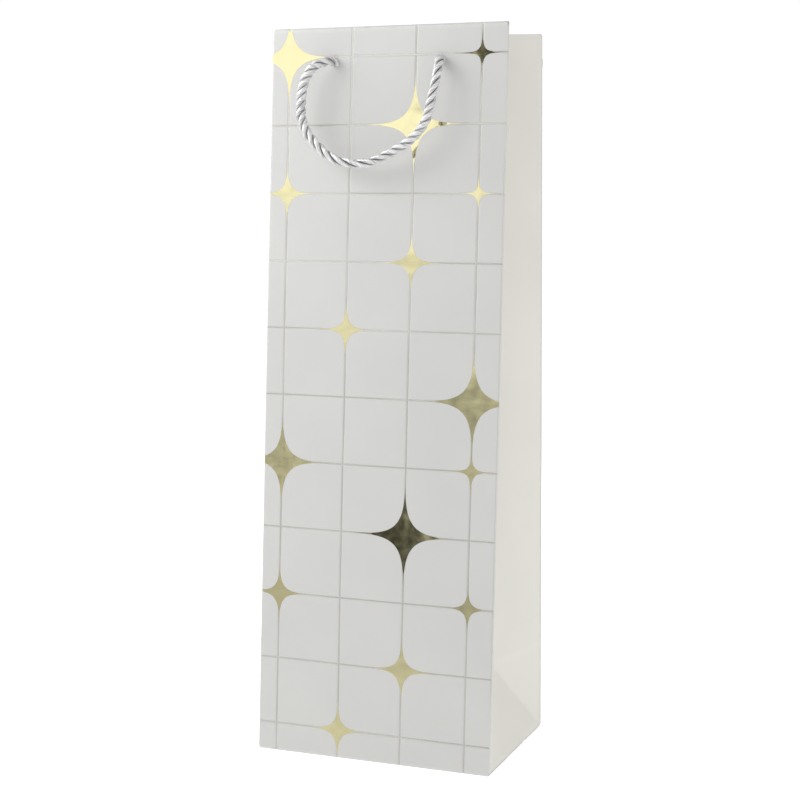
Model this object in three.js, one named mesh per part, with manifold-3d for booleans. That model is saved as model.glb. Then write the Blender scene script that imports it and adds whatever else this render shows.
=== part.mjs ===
// A wine gift bag: one sheet of stiff paper folded into a tall square-bottomed bag with V gussets,
// a turned-in rim over two stiffening cards, a loose bottom card, two rope handles knotted inside
// the rim, and a grid of foil lines and four-pointed stars printed on the front and the back.
//
// Frame: origin at the centre of the bottom, X across the front, the front faces -Y, Z up. Sizes in mm.
// Each flat face of the folded sheet is a plate of its own, parted from its neighbours at the crease.

import * as THREE from "three";
import { mergeVertices } from "three/addons/utils/BufferGeometryUtils.js";
import Module from "manifold-3d";

const wasm = await Module();
wasm.setup();

// Driving dimensions
const WIDTH = 123; // across the front
const DEPTH = 90; // front to back at the bottom
const HEIGHT = 360; // of the front and back panels, along their slope
const MOUTH = 57; // front to back at the rim, where the gussets are folded in
const PAPER = 0.3; // thickness of the sheet
const GAP = 0.3; // between pieces that touch
const HEM = 40; // turned-in strip around the rim
const RIM_CARD = [110, 34, 1]; // length, height and thickness of the cards in the hem
const BOTTOM_CARD = [115, 84, 1]; // length, depth and thickness of the loose card
const FLAP = 60; // how far the front and back bottom flaps reach in
const SEAM_TAB = 16; // width of the glued strip that closes the tube
const CORD = 4.6; // diameter of the rope
const HOLE_SPACING = 55;
const HOLE_DROP = 17; // from the rim down to the holes
const HOLE_RADIUS = CORD / 2 + 0.4;
const KNOT_RADIUS = 5.4;
const FOIL = 0.2; // thickness of the printed layer

// The grid of the print: lines a cell apart, the first column and row set in from the top left corner
const CELL = 33.15;
const FIRST_COLUMN = 10;
const FIRST_ROW = 14.4;
const COLUMNS = 4;
const ROWS = 11;
const LINE = 0.6;

// Derived sizes of the folded shape
const LEAN = Math.asin((DEPTH - MOUTH) / 2 / HEIGHT); // of the front and back panels
const CREASE = DEPTH / 2; // the folds across the gussets lie this far up the panels
const LAYER = PAPER + GAP; // from one sheet to the next one inside it
const HOLE_UP = HEIGHT - HOLE_DROP;
const CARD_AT = LAYER; // depths into the bag, from the outer face of a panel
const HEM_AT = CARD_AT + RIM_CARD[2] + GAP;
const KNOT_AT = HEM_AT + LAYER;

// The rope's route in a panel's own frame, one hole to the other, as [across, out, up] from the
// middle of the two holes. It turns at a hole over BENT points from its end, and the rest hangs as a
// loop that swings.
const ROUTE = [
  [-27.5, 0, 0],
  [-27.8, 3.2, 0.1],
  [-29.6, 6.6, -0.5],
  [-32.6, 9.2, -2.2],
  [-35.7, 10.7, -5.3],
  [-38, 11.4, -9.6],
  [-39.4, 11.6, -15.2],
  [-39.9, 11.6, -21.4],
  [-39.6, 11.6, -27.6],
  [-37.5, 11.6, -33.6],
  [-33.2, 11.6, -39.2],
  [-27.6, 11.6, -44.4],
  [-21, 11.6, -48.2],
  [-13.6, 11.6, -50],
  [-6, 11.6, -49.9],
  [1.2, 11.6, -48],
  [7.5, 11.6, -44.9],
  [13.9, 11.6, -41.5],
  [20, 11.6, -36.6],
  [24.2, 11.6, -30.8],
  [26.2, 11.5, -24],
  [27.6, 11.2, -17.2],
  [28.6, 10.2, -11.3],
  [28.8, 8.1, -6],
  [28.3, 5.1, -2.2],
  [27.7, 2.4, -0.4],
  [27.5, 0, 0],
];
const BENT = 5;
const SWING_OUT = 6.5; // the axis that a loop swings about, along X, out from the panel at the holes

// Stars as [column, row, reach along the lines, how full the body is], reach in mm
const STARS = [
  [0, 0, 18.5, 1],
  [2, 1, 19, 1],
  [3, 5, 19.5, 1],
  [0, 6, 18, 1],
  [2, 7, 19, 1],
  [0, 2, 11, 1],
  [2, 3, 11.5, 0.9],
  [1, 4, 10.5, 0.9],
  [0, 8, 11.5, 0.9],
  [2, 9, 12.5, 0.9],
  [1, 10, 11.5, 0.9],
  [3, 0, 11, 0.4],
  [3, 2, 7, 0.7],
  [3, 6, 9, 0.6],
  [3, 8, 9, 0.8],
];

const MATERIALS = {
  front_paper: new THREE.MeshStandardMaterial({ color: "#d6d5d1", roughness: 0.55, metalness: 0 }),
  side_paper: new THREE.MeshStandardMaterial({ color: "#dedcd5", roughness: 0.6, metalness: 0 }),
  card: new THREE.MeshStandardMaterial({ color: "#c9c4b8", roughness: 0.9, metalness: 0 }),
  cord: new THREE.MeshStandardMaterial({ color: "#c4c6cb", roughness: 0.4, metalness: 0.1 }),
  foil: new THREE.MeshStandardMaterial({ color: "#c8bd86", roughness: 0.2, metalness: 1 }),
};

function named(name, geometry, material) {
  const mesh = new THREE.Mesh(geometry, MATERIALS[material]);
  mesh.name = name;
  return mesh;
}

// Booleans

function toSolid(geometry) {
  const bare = geometry.clone();
  bare.deleteAttribute("normal");
  bare.deleteAttribute("uv");
  const merged = mergeVertices(bare, 1e-4);
  const mesh = new wasm.Mesh({
    numProp: 3,
    vertProperties: merged.attributes.position.array,
    triVerts: new Uint32Array(merged.index.array),
  });
  return new wasm.Manifold(mesh);
}

function toGeometry(solid) {
  const mesh = solid.getMesh();
  const geometry = new THREE.BufferGeometry();
  geometry.setAttribute("position", new THREE.BufferAttribute(mesh.vertProperties, 3));
  geometry.setIndex(new THREE.BufferAttribute(mesh.triVerts, 1));
  const flat = geometry.toNonIndexed();
  flat.computeVertexNormals();
  return flat;
}

// Sheets

// A shape in a panel's frame (X across, Z up the slope), extruded from one depth into the bag.
function panelPlate(shape, depth, thickness) {
  const geometry = new THREE.ExtrudeGeometry(shape, {
    depth: thickness,
    bevelEnabled: false,
    curveSegments: 8,
  });
  geometry.rotateX(Math.PI / 2);
  geometry.translate(0, depth + thickness, 0);
  return geometry;
}

function rectangle(left, low, right, high) {
  const corners = [[left, low], [right, low], [right, high], [left, high]];
  return new THREE.Shape(corners.map(([x, y]) => new THREE.Vector2(x, y)));
}

function withCordHoles(shape) {
  for (const side of [-1, 1]) {
    const hole = new THREE.Path();
    hole.absarc((side * HOLE_SPACING) / 2, HOLE_UP, HOLE_RADIUS, 0, 2 * Math.PI, true);
    shape.holes.push(hole);
  }
  return shape;
}

// A flat polygon in space, each edge moved in by its own margin, thickened towards the bag's inside.
function plate(name, corners, margins, material) {
  const [origin, second] = corners;
  const across = second.clone().sub(origin).normalize();
  const normal = across.clone().cross(corners[2].clone().sub(origin)).normalize();
  const up = normal.clone().cross(across);
  const flat = corners.map((p) => {
    const offset = p.clone().sub(origin);
    return new THREE.Vector2(offset.dot(across), offset.dot(up));
  });
  const shape = new THREE.Shape(insetPolygon(flat, margins));
  const geometry = new THREE.ExtrudeGeometry(shape, { depth: PAPER, bevelEnabled: false });
  const centre = new THREE.Vector3(0, 0, HEIGHT / 2);
  if (normal.dot(centre.sub(origin)) < 0) geometry.translate(0, 0, -PAPER);
  const mesh = named(name, geometry, material);
  mesh.quaternion.setFromRotationMatrix(new THREE.Matrix4().makeBasis(across, up, normal));
  mesh.position.copy(origin);
  return mesh;
}

// Edge i runs from corner i to corner i + 1 of an anticlockwise polygon.
function insetPolygon(corners, margins) {
  const count = corners.length;
  const edges = corners.map((start, i) => {
    const along = corners[(i + 1) % count].clone().sub(start).normalize();
    const inward = new THREE.Vector2(-along.y, along.x);
    return { along, point: start.clone().addScaledVector(inward, margins[i]) };
  });
  return edges.map((edge, i) => {
    const before = edges[(i + count - 1) % count];
    const between = edge.point.clone().sub(before.point);
    const reach = between.cross(edge.along) / before.along.cross(edge.along);
    return before.point.clone().addScaledVector(before.along, reach);
  });
}

// A sheet ruled between two straight edges, low[0] to high[0] and low[1] to high[1], both seen from
// inside the bag with edge 0 on the left. Margins are [left, bottom, right, top].
function ruledSheet(name, low, high, depth, margins, steps, material) {
  const across = low[0].distanceTo(low[1]);
  const along = low[0].distanceTo(high[0]);
  const [left, bottom, right, top] = margins;
  const pointAt = (u, v) =>
    low[0].clone().lerp(low[1], u).lerp(high[0].clone().lerp(high[1], u), v);
  const geometry = new THREE.BoxGeometry(1, 1, 1, 3, steps, 1);
  const position = geometry.attributes.position;
  for (let i = 0; i < position.count; i++) {
    const u = THREE.MathUtils.lerp(left / across, 1 - right / across, position.getX(i) + 0.5);
    const v = THREE.MathUtils.lerp(bottom / along, 1 - top / along, position.getY(i) + 0.5);
    const sideways = pointAt(1, v).sub(pointAt(0, v));
    const upward = pointAt(u, 1).sub(pointAt(u, 0));
    const inward = sideways.cross(upward).normalize();
    const reach = depth + (position.getZ(i) + 0.5) * PAPER;
    position.setXYZ(i, ...pointAt(u, v).addScaledVector(inward, reach));
  }
  geometry.computeVertexNormals();
  return named(name, geometry, material);
}

// The gussets. side is 1 on the right and -1 on the left, end is -1 at the front and 1 at the back.

const cornerAt = (side, end, up) =>
  new THREE.Vector3(
    (side * WIDTH) / 2,
    end * (DEPTH / 2 - up * Math.sin(LEAN)),
    up * Math.cos(LEAN),
  );

// The apex of the base triangle lies where the paper reaches without stretching: half the bottom's
// depth from the middle of its bottom edge, and as far from the corner fold at the crease.
function apexAt(side) {
  const fold = cornerAt(1, 1, CREASE);
  const up = (fold.z ** 2 + fold.y ** 2) / (2 * fold.z);
  const inset = Math.sqrt((DEPTH / 2) ** 2 - up ** 2);
  return new THREE.Vector3(side * (WIDTH / 2 - inset), 0, up);
}

// The valley's top end: half a gusset from the rim's corner, and the valley's length above the apex.
function valleyTopAt(side) {
  const corner = cornerAt(1, 1, HEIGHT);
  const apex = apexAt(1);
  const valley = HEIGHT - CREASE;
  let inset = WIDTH / 2 - apex.x;
  let up = corner.z;
  for (let round = 0; round < 20; round++) {
    inset = Math.sqrt((DEPTH / 2) ** 2 - corner.y ** 2 - (up - corner.z) ** 2);
    up = apex.z + Math.sqrt(valley ** 2 - (inset - (WIDTH / 2 - apex.x)) ** 2);
  }
  return new THREE.Vector3(side * (WIDTH / 2 - inset), 0, up);
}

function gusset(side) {
  const label = side > 0 ? "right" : "left";
  const group = new THREE.Group();
  const apex = apexAt(side);
  const valleyTop = valleyTopAt(side);
  const feet = [-1, 1].map((end) => cornerAt(side, end, 0));
  const baseClear = 0.5;
  const floorClear = 2 * LAYER;
  const triangle = [feet[0], feet[1], apex];
  const triangleMargins = [floorClear, baseClear, baseClear];
  group.add(plate(`${label}_gusset_base`, triangle, triangleMargins, "side_paper"));
  for (const [end, word] of [[-1, "front"], [1, "back"]]) {
    const foot = cornerAt(side, end, 0);
    const fold = cornerAt(side, end, CREASE);
    const cornerClear = 1.3;
    const outline = [foot, apex, fold];
    const margins = [baseClear, baseClear, cornerClear];
    group.add(plate(`${label}_${word}_gusset_fold`, outline, margins, "side_paper"));

    // Seen from inside, the corner edge is on the left where side and end agree.
    const rim = cornerAt(side, end, HEIGHT);
    const cornerOnLeft = side * end > 0;
    const low = cornerOnLeft ? [fold, apex] : [apex, fold];
    const high = cornerOnLeft ? [rim, valleyTop] : [valleyTop, rim];
    const valleyClear = 0.3;
    const edges = (corner) => (cornerOnLeft ? [corner, valleyClear] : [valleyClear, corner]);
    const [left, right] = edges(cornerClear);
    const half = [left, baseClear, right, 0];
    group.add(ruledSheet(`${label}_${word}_gusset`, low, high, 0, half, 20, "side_paper"));

    const [hemLeft, hemRight] = edges(2.8);
    const hem = [hemLeft, HEIGHT - CREASE - HEM, hemRight, 0.2];
    group.add(ruledSheet(`${label}_${word}_gusset_hem`, low, high, LAYER, hem, 3, "side_paper"));
  }
  return group;
}

// The bottom: two triangular side flaps folded in first, then the back flap, then the front flap
// outside, which the bag stands on.

function bottom() {
  const group = new THREE.Group();
  const halfWidth = WIDTH / 2 - 0.9;
  const reach = FLAP - DEPTH / 2;
  const front = new THREE.BoxGeometry(2 * halfWidth, FLAP, PAPER);
  front.translate(0, reach - FLAP / 2, PAPER / 2);
  group.add(named("bottom_flap_front", front, "side_paper"));

  // The back flap lies on the floor as far as the front flap's edge and steps up over it.
  const step = reach + GAP;
  const profile = new THREE.Shape([
    new THREE.Vector2(DEPTH / 2, 0),
    new THREE.Vector2(DEPTH / 2, PAPER),
    new THREE.Vector2(step + 2, PAPER),
    new THREE.Vector2(step, LAYER + PAPER),
    new THREE.Vector2(-reach, LAYER + PAPER),
    new THREE.Vector2(-reach, LAYER),
    new THREE.Vector2(step, LAYER),
    new THREE.Vector2(step + 1.6, 0),
  ]);
  const back = new THREE.ExtrudeGeometry(profile, { depth: 2 * halfWidth, bevelEnabled: false });
  back.rotateY(Math.PI / 2).rotateX(Math.PI / 2);
  back.translate(-halfWidth, 0, 0);
  group.add(named("bottom_flap_back", back, "side_paper"));

  const sideEdge = WIDTH / 2 - 1.6;
  const sideReach = DEPTH / 2 - 2;
  for (const [side, word] of [[-1, "left"], [1, "right"]]) {
    const corners = [[0, -sideReach], [sideReach, 0], [0, sideReach]];
    const outline = new THREE.Shape(corners.map(([x, y]) => new THREE.Vector2(x, y)));
    const flap = new THREE.ExtrudeGeometry(outline, { depth: PAPER, bevelEnabled: false });
    if (side > 0) flap.rotateZ(Math.PI);
    flap.translate(side * sideEdge, 0, 2 * LAYER);
    group.add(named(`bottom_flap_${word}`, flap, "side_paper"));
  }

  const [length, depth, thickness] = BOTTOM_CARD;
  const card = new THREE.BoxGeometry(length, depth, thickness);
  card.translate(0, 0, 3 * LAYER + thickness / 2);
  group.add(named("bottom_card", card, "card"));
  return group;
}

// The print: lines and stars as one thin lattice, in a panel's frame.

const columnAt = (column) => FIRST_COLUMN + column * CELL - WIDTH / 2;
const rowAt = (row) => HEIGHT - FIRST_ROW - row * CELL;

// Four concave sides that run out into the lines: |x|^p + |z|^p = tip^p, with p and the tip from
// the fullness. An arm is narrower than the line well before its tip, at about the star's reach.
function starShape(column, row, reach, fullness) {
  const power = 0.16 + 0.23 * fullness;
  const tip = reach * (3.15 - 1.6 * fullness);
  const corner = 8;
  const points = [];
  for (let i = 0; i < 4 * corner; i++) {
    const angle = (i / corner) * (Math.PI / 2);
    const swell = (value) => Math.sign(value) * Math.abs(value) ** (2 / power);
    const x = columnAt(column) + tip * swell(Math.cos(angle));
    points.push(new THREE.Vector2(x, rowAt(row) + tip * swell(Math.sin(angle))));
  }
  return new THREE.Shape(points);
}

function foil(name) {
  const edge = 0.4;
  const depth = -GAP - FOIL;
  const solidOf = (shape) => toSolid(panelPlate(shape, depth, FOIL));
  const pieces = [];
  for (let row = 0; row < ROWS; row++) {
    const z = rowAt(row);
    const reach = WIDTH / 2 - edge;
    pieces.push(solidOf(rectangle(-reach, z - LINE / 2, reach, z + LINE / 2)));
  }
  for (let column = 0; column < COLUMNS; column++) {
    const x = columnAt(column);
    pieces.push(solidOf(rectangle(x - LINE / 2, 2, x + LINE / 2, HEIGHT - edge)));
  }
  for (const star of STARS) pieces.push(solidOf(starShape(...star)));
  const lattice = pieces.reduce((all, piece) => all.add(piece));

  const whole = rectangle(edge - WIDTH / 2, 1, WIDTH / 2 - edge, HEIGHT - edge);
  const clipped = lattice.intersect(toSolid(panelPlate(whole, depth - 1, FOIL + 2)));
  const cordRoom = [-1, 1].map((side) => {
    const disc = new THREE.Shape();
    disc.absarc((side * HOLE_SPACING) / 2, HOLE_UP, HOLE_RADIUS + 0.4, 0, 2 * Math.PI);
    return toSolid(panelPlate(disc, depth - 1, FOIL + 2));
  });
  const cut = cordRoom.reduce((rest, disc) => rest.subtract(disc), clipped);
  return named(name, toGeometry(cut), "foil");
}

// The rope

// A stretch of a curve between two shares of its length, as a curve of its own.
function stretch(curve, from, to, points) {
  const places = [];
  for (let i = 0; i <= points; i++) {
    places.push(curve.getPointAt(from + ((to - from) * i) / points));
  }
  return new THREE.CatmullRomCurve3(places, false, "centripetal");
}

function ropeTube(name, curve, steps) {
  const section = new THREE.Shape();
  const sides = 10;
  for (let i = 0; i < sides; i++) {
    const angle = ((i + 0.5) / sides) * 2 * Math.PI;
    const [x, y] = [(Math.cos(angle) * CORD) / 2, (Math.sin(angle) * CORD) / 2];
    if (i === 0) section.moveTo(x, y);
    else section.lineTo(x, y);
  }
  const options = { steps, bevelEnabled: false, extrudePath: curve };
  return named(name, new THREE.ExtrudeGeometry(section, options), "cord");
}

// A stopper knot, a flattened ball with a short tail of rope hanging from it.
function knot(name, x) {
  const ball = new THREE.SphereGeometry(KNOT_RADIUS, 16, 10);
  ball.scale(1, 1, 0.9);
  const tailLength = 14;
  const tail = new THREE.CylinderGeometry(CORD / 2, CORD / 2 + 0.5, tailLength, 10);
  tail.rotateX(Math.PI / 2);
  tail.translate(0, 0, -tailLength / 2 - 2);
  const mesh = named(name, toGeometry(toSolid(ball).add(toSolid(tail))), "cord");
  mesh.position.set(x, KNOT_AT + GAP + KNOT_RADIUS, HOLE_UP);
  return mesh;
}

// A loop hangs in a group whose origin is on the axis that it swings about.
function swinging(loop) {
  const group = new THREE.Group();
  group.position.set(0, -SWING_OUT, HOLE_UP);
  loop.position.copy(group.position).negate();
  group.add(loop);
  return group;
}

function handle(word) {
  const group = new THREE.Group();
  const points = ROUTE.map(([x, out, up]) => new THREE.Vector3(x, -out, HOLE_UP + up));
  const inside = [-1, 1].map(
    (side) => new THREE.Vector3((side * HOLE_SPACING) / 2, KNOT_AT, HOLE_UP),
  );
  points.unshift(inside[0]);
  points.push(inside[1]);
  const route = new THREE.CatmullRomCurve3(points, false, "centripetal");
  const total = route.getLength();
  const lengthTo = (index) => {
    const lengths = route.getLengths(20 * (points.length - 1));
    return lengths[20 * index] / total;
  };
  const left = lengthTo(BENT);
  const right = lengthTo(points.length - 1 - BENT);
  const half = GAP / 2 / total;
  const endSteps = 8;
  const loopSteps = 24;
  const leftEnd = stretch(route, 0, left - half, 3 * endSteps);
  const rightEnd = stretch(route, right + half, 1, 3 * endSteps);
  const loop = stretch(route, left + half, right - half, 3 * loopSteps);
  group.add(ropeTube(`${word}_cord_end_left`, leftEnd, endSteps));
  group.add(ropeTube(`${word}_cord_end_right`, rightEnd, endSteps));
  group.add(swinging(ropeTube(`${word}_handle`, loop, loopSteps)));
  group.add(knot(`${word}_knot_left`, -HOLE_SPACING / 2));
  group.add(knot(`${word}_knot_right`, HOLE_SPACING / 2));
  return group;
}

// A side of the bag in its own frame: X across as seen from outside, Y into the bag, Z up the slope.
function face(word) {
  const group = new THREE.Group();
  const half = WIDTH / 2;
  const panel = withCordHoles(rectangle(-half, LAYER + 0.2, half, HEIGHT));
  group.add(named(`${word}_panel`, panelPlate(panel, 0, PAPER), "front_paper"));

  const [cardLength, cardHeight, cardThickness] = RIM_CARD;
  const cardTop = HEIGHT - 1;
  const card = withCordHoles(
    rectangle(-cardLength / 2, cardTop - cardHeight, cardLength / 2, cardTop),
  );
  group.add(named(`${word}_rim_card`, panelPlate(card, CARD_AT, cardThickness), "card"));

  const hemEnd = half - 5.6;
  const hem = withCordHoles(rectangle(-hemEnd, HEIGHT - HEM, hemEnd, HEIGHT - 0.2));
  group.add(named(`${word}_hem`, panelPlate(hem, HEM_AT, PAPER), "front_paper"));

  group.add(foil(`${word}_foil`));
  group.add(handle(word));
  return group;
}

// The strip that closes the tube, glued inside the back panel along its edge with the right gusset.
function seamTab() {
  const edge = -WIDTH / 2 + 2.8;
  const strip = rectangle(edge, 4, edge + SEAM_TAB, HEIGHT - HEM - 2);
  return named("seam_tab", panelPlate(strip, LAYER, PAPER), "side_paper");
}

const giftBag = new THREE.Group();
for (const [word, turn] of [["front", 0], ["back", Math.PI]]) {
  const leaning = face(word);
  if (word === "back") leaning.add(seamTab());
  leaning.rotation.x = -LEAN;
  leaning.position.y = -DEPTH / 2;
  const turned = new THREE.Group();
  turned.rotation.z = turn;
  turned.add(leaning);
  giftBag.add(turned);
}
giftBag.add(gusset(-1), gusset(1), bottom());

export default giftBag;
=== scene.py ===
"""The wine gift bag's looks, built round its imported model: folded paper sheets, a stamped foil
print that follows them, twisted satin ropes with knots, and cards.

Lengths are in metres. The frame is the model's: X across the front, the front faces -Y, Z up.
A face of the bag has a frame of its own: across as seen from outside, depth into the bag, and up
the slope from the bottom crease.
"""
import math

import bmesh
import bpy
import numpy as np
from mathutils import Matrix, Vector


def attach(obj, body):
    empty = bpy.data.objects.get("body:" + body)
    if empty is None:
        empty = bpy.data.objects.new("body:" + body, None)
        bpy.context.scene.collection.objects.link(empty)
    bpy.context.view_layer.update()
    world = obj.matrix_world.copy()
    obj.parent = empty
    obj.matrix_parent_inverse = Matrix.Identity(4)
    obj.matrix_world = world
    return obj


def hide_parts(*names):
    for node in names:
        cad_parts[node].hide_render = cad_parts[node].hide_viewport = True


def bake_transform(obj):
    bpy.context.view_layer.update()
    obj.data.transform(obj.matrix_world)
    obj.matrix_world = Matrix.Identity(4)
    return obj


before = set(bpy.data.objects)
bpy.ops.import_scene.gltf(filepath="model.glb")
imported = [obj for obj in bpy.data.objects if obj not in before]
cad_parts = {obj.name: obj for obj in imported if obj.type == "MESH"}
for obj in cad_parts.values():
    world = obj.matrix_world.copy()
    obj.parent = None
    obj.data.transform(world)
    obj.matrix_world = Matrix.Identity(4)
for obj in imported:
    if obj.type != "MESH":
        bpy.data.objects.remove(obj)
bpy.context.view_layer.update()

# Driving dimensions, the same as in the model
WIDTH = 0.123
DEPTH = 0.090
HEIGHT = 0.360
MOUTH = 0.057
PAPER = 0.0003
LAYER = 0.0006
HEM = 0.040
CARD = 0.001
FLAP = 0.060
CREASE = DEPTH / 2
CORD = 0.0046
HOLE_SPACING = 0.055
HOLE_UP = HEIGHT - 0.017
HOLE_RADIUS = CORD / 2 + 0.0004
KNOT_DEPTH = 0.0082
TAIL = 0.014

LEAN = math.asin((DEPTH - MOUTH) / 2 / HEIGHT)
UPWARD = np.array([0, math.sin(LEAN), math.cos(LEAN)])
FACES = {"front": 1, "back": -1}
SIDES = {"left": -1, "right": 1}

# The folded sheets
STEP = 0.003  # of their grids
FOLD_RADIUS = 0.00045
FOLD_STEPS = 6
RIM_THIN = 0.00045  # radius outside the rim's fold where nothing lies in it
RIM_THICK = LAYER + CARD / 2  # and where the card does
RIM_TUCK = 0.0018  # how much narrower the rim gets as it turns in, at each side
HEM_ROWS = 14
FLAP_EDGE = WIDTH / 2 - 0.0009  # half the width of a bottom flap
PANEL_SWELL = 0.0008  # how far the panels stand out in their middles
SIDE_SWELL = 0.0006  # and the halves of a side

# The grid of the print
CELL = 0.03315
COLUMNS = [0.010 + CELL * column - WIDTH / 2 for column in range(4)]
ROWS = [HEIGHT - 0.0144 - CELL * row for row in range(11)]
LINE = 0.0006
PRINT_MARGIN = 0.0007  # from the side and bottom creases

# Stars as (column, row, reach along the lines, how full the body is)
STARS = [
    (0, 0, 0.0185, 1.0),
    (2, 1, 0.0190, 1.0),
    (3, 5, 0.0195, 1.0),
    (0, 6, 0.0180, 1.0),
    (2, 7, 0.0190, 1.0),
    (0, 2, 0.0110, 1.0),
    (2, 3, 0.0115, 0.9),
    (1, 4, 0.0105, 0.9),
    (0, 8, 0.0115, 0.9),
    (2, 9, 0.0125, 0.9),
    (1, 10, 0.0115, 0.9),
    (3, 0, 0.0110, 0.4),
    (3, 2, 0.0070, 0.7),
    (3, 6, 0.0090, 0.6),
    (3, 8, 0.0090, 0.8),
]

# The rope's route from one hole to the other, in mm: across, out, up from the middle of the holes
ROUTE_MM = [
    (-27.5, 0, 0),
    (-27.8, 3.2, 0.1),
    (-29.6, 6.6, -0.5),
    (-32.6, 9.2, -2.2),
    (-35.7, 10.7, -5.3),
    (-38, 11.4, -9.6),
    (-39.4, 11.6, -15.2),
    (-39.9, 11.6, -21.4),
    (-39.6, 11.6, -27.6),
    (-37.5, 11.6, -33.6),
    (-33.2, 11.6, -39.2),
    (-27.6, 11.6, -44.4),
    (-21, 11.6, -48.2),
    (-13.6, 11.6, -50),
    (-6, 11.6, -49.9),
    (1.2, 11.6, -48),
    (7.5, 11.6, -44.9),
    (13.9, 11.6, -41.5),
    (20, 11.6, -36.6),
    (24.2, 11.6, -30.8),
    (26.2, 11.5, -24),
    (27.6, 11.2, -17.2),
    (28.6, 10.2, -11.3),
    (28.8, 8.1, -6),
    (28.3, 5.1, -2.2),
    (27.7, 2.4, -0.4),
    (27.5, 0, 0),
]
ROPE_INSIDE = 0.006  # from a hole's outer edge to where the knot takes over
PITCH = 0.0145  # of the rope's twist
STRAND_AT = 0.00118  # from the rope's middle to a strand's
STRAND = 0.00113  # a strand's radius
YARNS = 7
YARN_PITCH = 0.0105
STRAND_SIDES = 35
RING = 0.00042  # between rings of a strand's mesh


# Places


def on_face(word, across, depth, up):
    """Points of a face's own frame, in the model's frame."""
    turn = FACES[word]
    across, depth, up = np.broadcast_arrays(across, depth, up)
    y = depth * math.cos(LEAN) + up * math.sin(LEAN) - DEPTH / 2
    z = up * math.cos(LEAN) - depth * math.sin(LEAN)
    return np.stack([turn * across, turn * y, z], axis=-1)


def corner_at(side, end, up):
    """A point of a vertical corner fold. side is 1 on the right, end is 1 at the back."""
    y = end * (DEPTH / 2 - up * math.sin(LEAN))
    return np.array([side * WIDTH / 2, y, up * math.cos(LEAN)])


def unit(vector):
    return vector / np.linalg.norm(vector)


def smooth(value):
    value = np.clip(value, 0, 1)
    return value * value * (3 - 2 * value)


def swell(across, up):
    """How far a panel stands out: a low bow, flat at its folds and at the card."""
    foot = 0.10
    head = 0.12
    sideways = np.cos(np.clip(across / WIDTH, -0.5, 0.5) * math.pi) ** 2
    lengthways = smooth(up / foot) * smooth((HEIGHT - HEM - up) / head)
    ripple = 0.12 * np.sin(across * 71 + 1.3) * np.sin(up * 43 + 0.4)
    return PANEL_SWELL * sideways * lengthways * (1 + ripple)


# Camera and light


def make_camera():
    place = (0.2955, -0.7924, 0.2630)
    heading = math.radians(20.654)
    tilt = math.radians(-5.904)
    roll = math.radians(0.454)
    data = bpy.data.cameras.new("camera")
    data.sensor_width = 36
    data.lens = 75.26
    data.clip_start = 0.01
    data.clip_end = 50
    camera = bpy.data.objects.new("camera", data)
    facing = Matrix.Rotation(heading, 4, "Z") @ Matrix.Rotation(math.pi / 2 + tilt, 4, "X")
    camera.matrix_world = Matrix.Translation(place) @ facing @ Matrix.Rotation(roll, 4, "Z")
    bpy.context.collection.objects.link(camera)
    bpy.context.scene.camera = camera


def area_light(name, place, target, size, power, colour=(1, 1, 1), glossy=False):
    """A round soft light, which only shows in what is glossy if it is told to."""
    data = bpy.data.lights.new(name, "AREA")
    data.shape = "DISK"
    data.size = size
    data.energy = power
    data.color = colour
    light = bpy.data.objects.new(name, data)
    light.location = place
    aim = Vector(target) - Vector(place)
    light.rotation_euler = aim.to_track_quat("-Z", "Y").to_euler()
    light.visible_camera = False
    light.visible_glossy = glossy
    bpy.context.collection.objects.link(light)


# Shader nodes


class Nodes:
    """Adds and joins the nodes of one tree."""

    def __init__(self, tree):
        self.tree = tree
        tree.nodes.clear()

    def add(self, kind, inputs=None, **settings):
        node = self.tree.nodes.new(kind)
        for name, value in settings.items():
            setattr(node, name, value)
        for name, value in (inputs or {}).items():
            self.feed(node.inputs[name], value)
        return node

    def feed(self, socket, value):
        if isinstance(value, bpy.types.NodeSocket):
            self.tree.links.new(value, socket)
        else:
            socket.default_value = value

    def flat(self):
        """Places in the flat sheet, or along and round a strand."""
        return self.add("ShaderNodeUVMap", uv_map="flat").outputs[0]

    def place(self):
        """Places in the piece itself."""
        return self.add("ShaderNodeTexCoord").outputs["Object"]

    def math(self, operation, first, second=0.0, third=0.0):
        inputs = {0: first, 1: second, 2: third}
        return self.add("ShaderNodeMath", inputs, operation=operation).outputs[0]

    def scaled(self, value, factor, offset):
        return self.math("MULTIPLY_ADD", value, factor, offset)

    def mix(self, factor, first, second, blend="MIX"):
        """Mixes two colours, which are the node's sockets 6 and 7 and its output 2."""
        node = self.add("ShaderNodeMix", data_type="RGBA", blend_type=blend)
        for index, value in ((0, factor), (6, first), (7, second)):
            self.feed(node.inputs[index], value)
        return node.outputs[2]

    def ramp(self, factor, stops, interpolation="LINEAR"):
        node = self.add("ShaderNodeValToRGB", {0: factor})
        node.color_ramp.interpolation = interpolation
        elements = node.color_ramp.elements
        while len(elements) < len(stops):
            elements.new(0.5)
        for element, (place, colour) in zip(elements, stops):
            element.position = place
            element.color = colour
        return node.outputs[0]

    def noise(self, vector, scale, detail=2.0, roughness=0.5):
        inputs = {"Vector": vector, "Scale": scale, "Detail": detail, "Roughness": roughness}
        return self.add("ShaderNodeTexNoise", inputs).outputs["Fac"]

    def stretched(self, vector, scale):
        inputs = {"Vector": vector, "Scale": scale}
        return self.add("ShaderNodeMapping", inputs).outputs[0]

    def bump(self, height, strength, distance, normal=None):
        inputs = {"Height": height, "Strength": strength, "Distance": distance}
        if normal is not None:
            inputs["Normal"] = normal
        return self.add("ShaderNodeBump", inputs).outputs[0]


def grey(value):
    return (value, value, value, 1)


# The studio

SKY = 0.50  # the light that all but glossy surfaces get from every side
BACKDROP = 1.03  # what the camera sees behind the bag

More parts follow.
